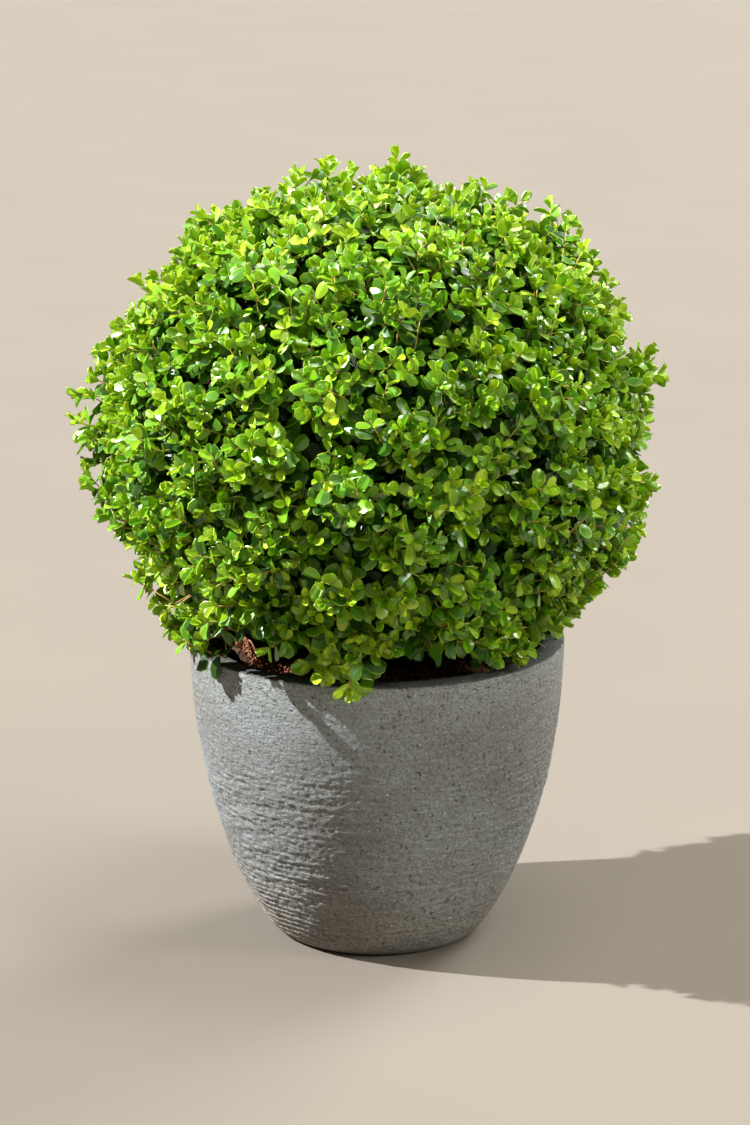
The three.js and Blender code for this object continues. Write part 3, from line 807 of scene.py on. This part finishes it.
def make_wood():
    """The trunk and the boughs, with the relief of their bark."""
    middle = (TRUNK_FOOT + TRUNK_TOP) / 2 + TRUNK_BOW
    line = bezier([TRUNK_FOOT - UP * TRUNK_SUNK, middle, TRUNK_TOP], TRUNK_RINGS)
    t = np.linspace(0, 1, TRUNK_RINGS)
    trunk_radii = TRUNK_RADIUS - TRUNK_TAPER * t + TRUNK_FLARE * (1 - t) ** 6
    parts = [bark_tube(line, trunk_radii, TRUNK_SIDES)]
    rise = TRUNK_TOP - TRUNK_FOOT
    t = np.linspace(0, 1, BOUGH_RINGS)
    bough_radii = BOUGH_RADIUS + (BOUGH_TIP_RADIUS - BOUGH_RADIUS) * t
    for direction, fork, drop in MASSES.values():
        outward = unit(direction)
        start = TRUNK_FOOT + rise * (fork - TRUNK_FOOT[2]) / rise[2]
        end = stem_foot(direction, drop)
        corners = [start, start + unit(outward + UP) * BOUGH_LEAD, end - outward * BOUGH_LEAD, end]
        parts.append(bark_tube(bezier(corners, BOUGH_RINGS), bough_radii, BOUGH_SIDES))
    vertices, faces = joined(parts)
    wood = mesh_object("trunk_and_boughs", vertices, faces, [bark_material()])
    finish_piece(wood, "bark", "trunk", *(f"bough_{side}" for side in MASSES))


# Shoots


def ball_directions(count):
    """Directions spread evenly over the ball, from its top down."""
    i = np.arange(count)
    z = 1 - 2 * (i + 0.5) / count
    flat = np.sqrt(1 - z * z)
    golden = math.pi * (3 - math.sqrt(5))
    return np.column_stack([flat * np.cos(i * golden), flat * np.sin(i * golden), z])


def crown_points(directions, depths):
    """The clipped face of the ball in each direction, or that much deeper."""
    radii = np.array([CROWN_RADIUS, CROWN_RADIUS, CROWN_HALF_HEIGHT])
    return CROWN_CENTRE + directions * (radii - np.asarray(depths)[:, None])


def fringe_floor(points):
    """The lowest that foliage may hang at places over the pot."""
    flat = np.maximum(0.001, np.hypot(points[..., 0], points[..., 1]))
    towards_front = points[..., :2] @ FRONT_WAY / flat
    towards_clump = points[..., :2] @ CLUMP_WAY / flat
    lift = FRONT_LIFT * smoothstep(0.62, 0.84, towards_front)
    return FRINGE_FLOOR + lift + CLUMP_LIFT * smoothstep(0.93, 0.985, towards_clump)


def clears_rim(points, floor):
    """True for each point with room for leaves, high enough over the pot or far enough outside it."""
    flat = np.hypot(points[:, 0], points[:, 1])
    over = points[:, 2] > floor + RIM_ROOM_ABOVE
    outside = (flat > POT_RIM_RADIUS + RIM_ROOM_OUTSIDE) & (points[:, 2] > FRINGE_FLOOR - RIM_OVERHANG)
    return over | outside


def in_sun_gap(points):
    """True for each point in the gap through which the key light falls on the clump of compost."""
    way = unit(np.array(KEY_PLACE))
    from_clump = points - np.array([*SOIL_CLUMP, SOIL_TOP + SOIL_CLUMP_HEIGHT])
    ahead = from_clump @ way
    aside = np.linalg.norm(from_clump - ahead[..., None] * way, axis=-1)
    return (aside < SUN_GAP_RADIUS) & (ahead > 0)


def has_room(ends, along):
    """True for each shoot that clears the rim from its middle to its youngest leaves, and the sun gap."""
    kept = clears_rim(ends, fringe_floor(ends))
    kept &= clears_rim(ends + SHOOT_REACH * along, FRINGE_FLOOR)
    kept &= clears_rim(ends - 0.5 * SHOOT_LENGTH * along, FRINGE_FLOOR)
    return kept & ~in_sun_gap(ends)


def shoot_ways(ends, aside):
    """The way each shoot points: out of the ball, up to the light and off the middle of its tuft."""
    square = unit(ends - CROWN_CENTRE)
    outward = np.column_stack([square[:, :2], np.maximum(square[:, 2], SHOOT_DROP)])
    lift = SHOOT_LIFT * UP * (1 - np.abs(outward[:, 2:]))
    scatter = rng.normal(0, SHOOT_WAY_SPREAD, outward.shape)
    along = unit(outward + lift + TUFT_FLARE * aside + scatter)
    lean_out = (along * square).sum(1, keepdims=True)
    return unit(along + square * np.maximum(0, SHOOT_LEAN_OUT - lean_out))


def reach_far_tips(ends):
    """Draws the ends round each far tip out towards it, and the nearest one all the way."""
    for place in FAR_TIPS:
        way = unit(np.array(place) - CROWN_CENTRE)
        end = np.array(place) - SHOOT_REACH * way
        nearest = np.argsort(np.linalg.norm(ends - end, axis=1))[: len(FAR_SHARES)]
        reach = np.maximum(0, (end - ends[nearest]) @ way)[:, None] * way
        ends[nearest] += reach * np.array(FAR_SHARES)[:, None]
        ends[nearest[0]] = end


def make_shoots():
    """The end, the direction, the youth from 0 to 1 and the vigour of every shoot."""
    even = ball_directions(SHOOTS)
    directions = unit(even + rng.normal(0, SHOOT_SCATTER, even.shape))
    middles = unit(ball_directions(TUFTS) + rng.normal(0, TUFT_SCATTER, (TUFTS, 3)))
    tuft = np.argmax(directions @ middles.T, 1)
    aside = directions - middles[tuft]
    spread = np.linalg.norm(aside, axis=1) / math.sqrt(4 / TUFTS)
    rise = rng.normal(0, TUFT_RISE, TUFTS)[tuft]
    tuft_youth = rng.random(TUFTS)[tuft]
    directions = unit(directions - TUFT_PULL * aside)
    depth = CLIP_DEPTH + TUFT_FALL * (spread**2 - TUFT_LEVEL) - rise
    depth -= rng.normal(0, CLIP_SPREAD, SHOOTS)
    depth -= np.where(rng.random(SHOOTS) < STRAYS, rng.uniform(*STRAY_REACH, SHOOTS), 0)
    ends = crown_points(directions, np.clip(depth, *CLIP_LIMITS))
    along = shoot_ways(ends, aside)
    reach_far_tips(ends)
    kept = has_room(ends, along)
    youth = TUFT_YOUTH * tuft_youth + (1 - TUFT_YOUTH) * rng.random(SHOOTS)
    vigour = rng.uniform(*VIGOURS, kept.sum())
    front_ends = np.array([end for end, _ in FRONT_SHOOTS])
    front_along = unit(np.array([way for _, way in FRONT_SHOOTS]))
    return (
        np.vstack([ends[kept], front_ends]),
        np.vstack([along[kept], front_along]),
        np.concatenate([youth[kept], np.ones(len(FRONT_SHOOTS))]),
        np.concatenate([vigour, np.full(len(FRONT_SHOOTS), FRONT_VIGOUR)]),
    )


def mass_of(points):
    """The index of the mass that each point belongs to."""
    outward = unit(np.array([direction for direction, _, _ in MASSES.values()]))
    return np.argmax((points - CROWN_CENTRE) @ outward.T, 1)


# Twigs


def grow(start, feet, radius, twigs):
    """The branching rule: a twig runs part of the way to the middle of the feet of its shoots, and
    forks there, half of them going to each fork, until it has one shoot, to whose foot it runs."""
    if len(feet) == 1:
        twigs.append((start, feet[0], radius))
        return
    fork = start + (feet.mean(0) - start) * FORK_SHARE
    twigs.append((start, fork, radius))
    ordered = feet[np.argsort(feet[:, np.argmax(np.ptp(feet, 0))])]
    half = (len(feet) + 1) // 2
    thinner = max(SHOOT_RADIUS, radius * TWIG_THINNING)
    grow(fork, ordered[:half], thinner, twigs)
    grow(fork, ordered[half:], thinner, twigs)


def make_twigs(side, ends, along):
    """The twigs of one mass, from its stem to the ends of its shoots."""
    direction, _, drop = MASSES[side]
    foot = stem_foot(direction, drop)
    stem_end = foot + unit(direction) * STEM_LENGTH
    feet = ends - along * SHOOT_LENGTH
    twigs = [(foot, stem_end, BOUGH_TIP_RADIUS)]
    grow(stem_end, feet, TWIG_RADIUS, twigs)
    lines = np.array([np.linspace(a, b, 3) for a, b, _ in twigs])
    radii = np.array([[r, r, r * TWIG_TAPER] for _, _, r in twigs])
    old = tubes(lines, radii, TWIG_SIDES)
    middles = (feet + ends) / 2 + rng.normal(0, SHOOT_BEND, feet.shape)
    shoot_radii = np.repeat(SHOOT_TAPER * SHOOT_RADIUS, len(feet), 0)
    young = tubes(np.stack([feet, middles, ends], 1), shoot_radii, SHOOT_SIDES)
    vertices, faces = joined([old, young])
    kinds = np.repeat([0, 1], [len(old[1]), len(young[1])])
    piece = mesh_object(f"twigs_{side}", vertices, faces, [TWIG_OLD, TWIG_YOUNG], kinds)
    finish_piece(piece, "bark")


# Leaves


def blade_shape(x, y):
    """A blade of length and width 1, flat, and how its corners move as it arches and droops."""
    level = 0 * x
    flat = np.column_stack([x, y, level])
    arch = np.column_stack([level, level, -(np.abs(2 * y) ** ARCH_POWER)])
    droop = np.column_stack([level, level, -(x**2)])
    return flat, arch, droop


def leaf_template():
    """A box leaf: its flat corners, how each moves as the blade arches across and droops along, how
    far each lies below the top, its faces, and whether each is of the blade, margin or underside."""
    stations = len(LEAF_STATIONS)
    rows = {"rib": 0, "left_in": MARGIN_START, "right_in": -MARGIN_START}
    rows |= {"left": 1, "right": -1, "under": 0}
    base, tip = 0, 1
    corners = [(0, 0, 0), (LEAF_END, 0, 0)]
    index = {}
    for row, share in rows.items():
        for i, (x, half) in enumerate(LEAF_STATIONS):
            index[row, i] = len(corners)
            corners.append((x, half * share, -1 if row == "under" else 0))
    x, y, below = np.array(corners).T

    def strip(first, second, flip):
        a = [base] + [index[first, i] for i in range(stations)] + [tip]
        b = [base] + [index[second, i] for i in range(stations)] + [tip]
        triangles = [(a[0], a[1], b[1]), (a[-2], a[-1], b[-2])]
        for i in range(1, stations):
            triangles += [(a[i], a[i + 1], b[i + 1]), (a[i], b[i + 1], b[i])]
        return [triangle[::-1] if flip else triangle for triangle in triangles]

    blade = strip("rib", "left_in", False) + strip("rib", "right_in", True)
    margin = strip("left_in", "left", False) + strip("right_in", "right", True)
    under = strip("under", "left", True) + strip("under", "right", False)
    parts = np.repeat([BLADE, MARGIN, UNDERSIDE], [len(blade), len(margin), len(under)])
    return *blade_shape(x, y), below, np.array(blade + margin + under), parts


def plain_leaf_template():
    """The same leaf as one blade of a few faces, with the same things told of it."""
    other_side = [(x, -half) for x, half in LEAF_STATIONS[::-1]]
    outline = [(0, 0)] + LEAF_STATIONS + [(LEAF_END, 0)] + other_side
    x, y = np.array(outline).T
    tip = 1 + len(LEAF_STATIONS)
    faces = [(0, 2 * tip - 1, 1)]
    for i in range(1, tip - 1):
        opposite = 2 * tip - i
        faces += [(i, opposite, opposite - 1), (i, opposite - 1, i + 1)]
    faces.append((tip - 1, tip + 1, tip))
    return *blade_shape(x, y), 0 * x, np.array(faces), np.full(len(faces), BLADE)


def leaf_corners(template, roots, runs, faces_up, lengths, arches, droops):
    """The corners of many leaves, each set at its root with its way, its upper side and its size."""
    flat, arch, droop, below, _, _ = template
    across = np.cross(faces_up, runs)
    shape = flat[None] + arches[:, None, None] * arch + droops[:, None, None] * droop
    size = np.stack([lengths, lengths * LEAF_ASPECT, lengths], -1)[:, None]
    local = shape * size
    local[..., 2] += below * LEAF_THICKNESS
    basis = np.stack([runs, across, faces_up], 1)
    return np.einsum("nvi,nij->nvj", local, basis) + roots[:, None]


def leaf_tones(pair, youth):
    """The index of each leaf's tone: pale at the tip of a young shoot, and darker down the shoot."""
    age = pair * PAIR_AGE + (1 - youth) * SHOOT_AGE + YOUNGEST_AGE + rng.normal(0, AGE_SPREAD, len(youth))
    return np.clip(np.round(age), 0, len(LEAF_TONES) - 1).astype(int)


def stacked(groups):
    """The same values of several groups of leaves, end to end."""
    return [np.concatenate(values) for values in zip(*groups)]


def shoot_leaves(ends, along, youth, vigour):
    """The leaves of many shoots, as opposite pairs that turn a quarter from one to the next."""
    count = len(ends)
    corner = perpendicular(along)
    side = np.cross(along, corner)
    first = rng.uniform(0, 2 * math.pi, count)
    groups = []
    for pair, (depth, length, lean) in enumerate(zip(PAIR_DEPTHS, PAIR_LENGTHS, PAIR_LEANS)):
        mean_arch = CUPPED_ARCH if pair < CUPPED_PAIRS else DOMED_ARCH
        for opposite in (0, math.pi):
            turn = first + pair * math.pi / 2 + opposite + rng.normal(0, LEAF_TURN_SPREAD, count)
            out = corner * np.cos(turn)[:, None] + side * np.sin(turn)[:, None]
            degrees = lean + rng.normal(0, LEAF_LEAN_SPREAD, count) + VIGOUR_LEAN * (vigour - 1)
            tilt = np.radians(degrees)[:, None]
            run = along * np.cos(tilt) + out * np.sin(tilt)
            face = along * np.sin(tilt) - out * np.cos(tilt)
            roll = rng.normal(0, LEAF_ROLL_SPREAD, count)[:, None]
            face = unit(face + np.cross(face, run) * roll)
            run = unit(run + rng.normal(0, LEAF_WAY_SPREAD, run.shape))
            face = unit(face - run * (face * run).sum(1, keepdims=True))
            back = depth * vigour + LEAF_DEPTH_SPREAD * rng.normal(0, 1, count)
            root = ends - along * back[:, None]
            size = length * vigour * rng.uniform(*LEAF_SIZES, count)
            arch = rng.normal(mean_arch, ARCH_SPREAD, count)
            droop = rng.normal(FIRST_DROOP + PAIR_DROOP * pair, DROOP_SPREAD, count)
            groups.append((root, run, face, size, arch, droop, leaf_tones(pair, youth)))
    fine = groups[: 2 * FINE_PAIRS]
    plain = groups[2 * FINE_PAIRS :]
    return stacked(fine), stacked(plain)


def inner_leaves():
    """Older leaves scattered among the twigs under the shoots, which take the older tones; their
    materials darken them further with painted shade.
    """
    directions = unit(rng.normal(0, 1, (INNER_LEAVES, 3)))
    points = crown_points(directions, rng.uniform(*INNER_DEPTHS, INNER_LEAVES))
    points = points[points[:, 2] > fringe_floor(points) + INNER_ROOM]
    count = len(points)
    outward = unit(points - CROWN_CENTRE)
    run = unit(outward * 0.5 + rng.normal(0, 0.7, (count, 3)))
    face = unit(np.cross(run, np.cross(outward + 0.4 * UP + rng.normal(0, 0.3, (count, 3)), run)))
    size = rng.uniform(*INNER_SIZES, count)
    arch = rng.normal(0.1, 0.1, count)
    droop = rng.normal(0.15, 0.1, count)
    tone = INNER_FIRST_TONE + rng.choice(len(INNER_SHADED_TONES), count, p=INNER_SHARES)
    return [points, run, face, size, arch, droop, tone]


def clear_of_pot(corners):
    """True for each leaf that touches neither the pot's rim nor the compost."""
    radius = np.hypot(corners[..., 0], corners[..., 1])
    height = corners[..., 2]
    over_rim = (height < FRINGE_FLOOR) & (radius > OPEN_RADIUS) & (radius < POT_RIM_RADIUS + POT_ROOM)
    soil = soil_height(corners[..., 0], corners[..., 1])
    in_soil = (height < soil + SOIL_ROOM) & (radius <= OPEN_RADIUS)
    return ~(over_rim | in_soil).any(1)


def crease(mesh, points):
    """Keeps the fold along the midrib crisp in a mesh of leaves of so many corners each."""
    ends = np.empty(len(mesh.edges) * 2, np.int32)
    mesh.edges.foreach_get("vertices", ends)
    along_rib = (ends % points <= LEAF_RIB_LAST).reshape(-1, 2).all(1)
    mesh.attributes.new("sharp_edge", "BOOLEAN", "EDGE").data.foreach_set("value", along_rib)


def make_leaves(name, side, leaves, template, materials, first_tone=0):
    """Many leaves of one mass, as one piece whose colours are plain and dealt out by leaf. Its first
    material is for the tone numbered first_tone."""
    *placing, tones = leaves
    corners = leaf_corners(template, *placing)
    kept = clear_of_pot(corners) & ~in_sun_gap(corners).any(1)
    corners = corners[kept]
    tones = np.maximum(0, tones[kept] - first_tone)[:, None]
    *_, faces, parts = template
    count, points = corners.shape[:2]
    all_faces = (faces[None] + (np.arange(count) * points)[:, None, None]).reshape(-1, 3)
    pale_margin, underside = len(LEAF_TONES), len(LEAF_TONES) + 1
    margins = np.where(tones >= MARGIN_STEP, tones - MARGIN_STEP, pale_margin)
    kinds = np.where(parts == BLADE, tones, np.where(parts == MARGIN, margins, underside))
    piece = mesh_object(name, corners.reshape(-1, 3), all_faces, materials, kinds.ravel())
    finish_piece(piece, "foliage", f"crown_{side}")
    return piece


def make_foliage():
    """The twigs, the leaves of the shoots and the inner leaves of each mass."""
    leaf = leaf_template()
    plain_leaf = plain_leaf_template()
    ends, along, youth, vigour = make_shoots()
    shoot_mass = mass_of(ends)
    inner = inner_leaves()
    inner_mass = mass_of(inner[0])
    for number, side in enumerate(MASSES):
        own = shoot_mass == number
        make_twigs(side, ends[own], along[own])
        fine, plain = shoot_leaves(ends[own], along[own], youth[own], vigour[own])
        leaves = make_leaves(f"leaves_{side}", side, fine, leaf, LEAF_MATERIALS)
        crease(leaves.data, len(leaf[0]))
        # The plain lower pairs and the inner leaves take the darker inner tones, painted shade deep in
        # the ball.
        deep = stacked([plain, [values[inner_mass == number] for values in inner]])
        make_leaves(f"inner_leaves_{side}", side, deep, plain_leaf, INNER_MATERIALS, INNER_FIRST_TONE)


# The stage


def make_stage():
    """A wide, flat, pale floor that fills the view."""
    corners = np.array([(-30, -20, 0), (30, -20, 0), (30, 60, 0), (-30, 60, 0)], float)
    floor = mesh_object("floor", corners, np.array([[0, 1, 2, 3]]), [floor_material()])


def make_light(name, place, width, strength, colour):
    """An even light from one direction. The wider it is, the softer the edges of its shadows."""
    data = bpy.data.lights.new(name, "SUN")
    data.angle = width
    data.energy = strength
    data.color = colour
    light = bpy.data.objects.new(name, data)
    light.rotation_euler = Vector(place).to_track_quat("Z", "Y").to_euler()
    bpy.context.scene.collection.objects.link(light)


def make_lights():
    """Every light, and the dim warm light that comes from all round."""
    for name, values in LIGHTS.items():
        make_light(name, *values)
    world = bpy.data.worlds.new("studio")
    world.use_nodes = True
    background = world.node_tree.nodes["Background"]
    background.inputs["Color"].default_value = (*STUDIO_COLOUR, 1)
    background.inputs["Strength"].default_value = STUDIO_STRENGTH
    bpy.context.scene.world = world
    bpy.context.scene.view_settings.view_transform = "Standard"


def make_camera():
    data = bpy.data.cameras.new("camera")
    data.sensor_width = CAMERA_FRAME
    data.lens = CAMERA_LENS
    camera = bpy.data.objects.new("camera", data)
    away = Vector((0, -math.cos(CAMERA_ELEVATION), math.sin(CAMERA_ELEVATION)))
    camera.location = CAMERA_AIM + away * CAMERA_DISTANCE
    camera.rotation_euler = (math.pi / 2 - CAMERA_ELEVATION, 0, 0)
    bpy.context.scene.collection.objects.link(camera)
    bpy.context.scene.camera = camera


TWIG_OLD = plain_material("twig_old", TWIG_OLD_TONE, 0.8)
TWIG_YOUNG = plain_material("twig_young", TWIG_YOUNG_TONE, 0.6)
LEAF_MATERIALS = [leaf_material(name, tone, 0.50, 0.28) for name, tone in LEAF_TONES.items()]
LEAF_MATERIALS.append(leaf_material("leaf_margin", MARGIN_TONE, 0.4, 0.25))
LEAF_MATERIALS.append(leaf_material("leaf_underside", UNDERSIDE_TONE, 0.6, 0.45))
INNER_MATERIALS = [leaf_material(name, tone, 0.6, 0.28, 0.25) for name, tone in INNER_SHADED_TONES.items()]

make_camera()
make_pot()
make_soil()
make_fibres()
make_wood()
make_foliage()
make_stage()
make_lights()
